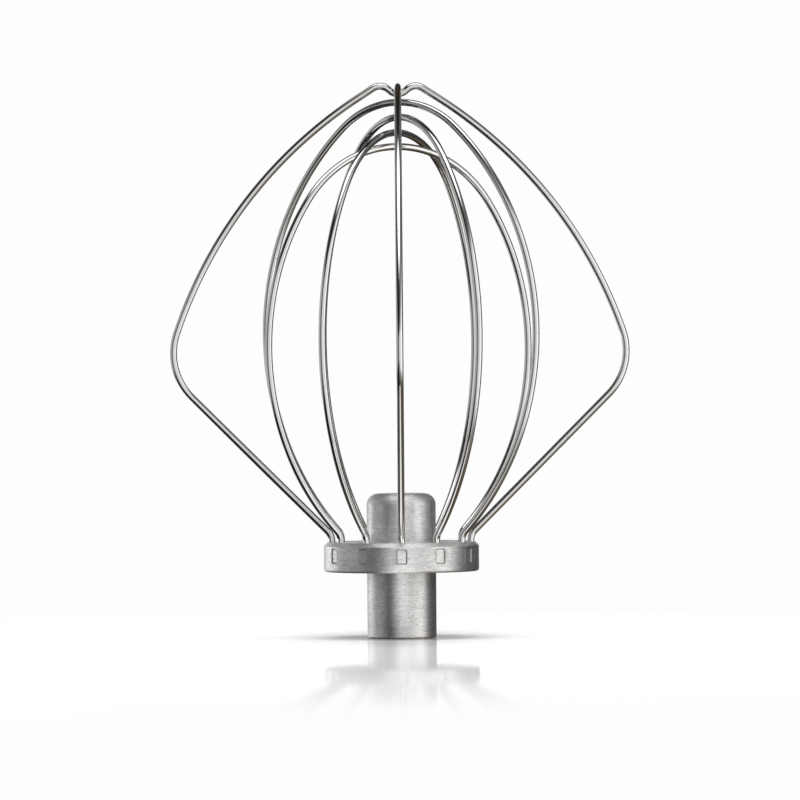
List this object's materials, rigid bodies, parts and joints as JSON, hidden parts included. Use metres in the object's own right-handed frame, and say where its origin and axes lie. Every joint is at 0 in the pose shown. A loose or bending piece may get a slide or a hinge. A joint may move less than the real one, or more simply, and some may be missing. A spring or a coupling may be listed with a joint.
{
  "type": "wire whisk for a stand mixer",
  "caption": "Wire whisk for a stand mixer: kite-shaped and rounded wire loops crimped in a flange on a stem whose open end takes the beater shaft.",
  "frame": {"origin": "centre of the stem's open end face, on the axis", "axes": "+Z along the hub's axis from the open end towards the wires' tip; +X in the plane of the dipped kite loop, +Y in the plane of the arched kite loop"},
  "size_m": [0.1356, 0.1356, 0.1637],
  "materials": {
    "hub_steel": "fine circumferential brushing, satin",
    "wire_steel": "polished drawn stainless wire"
  },
  "bodies": {
    "root": {"hub_stem": "hub_steel", "wire_flange": "hub_steel", "kite_wire_dipped": "wire_steel", "kite_wire_arched": "wire_steel", "loop_wire_tall": "wire_steel", "loop_wire_upper": "wire_steel", "loop_wire_lower": "wire_steel", "loop_wire_short": "wire_steel"}
  },
  "joints": []
}
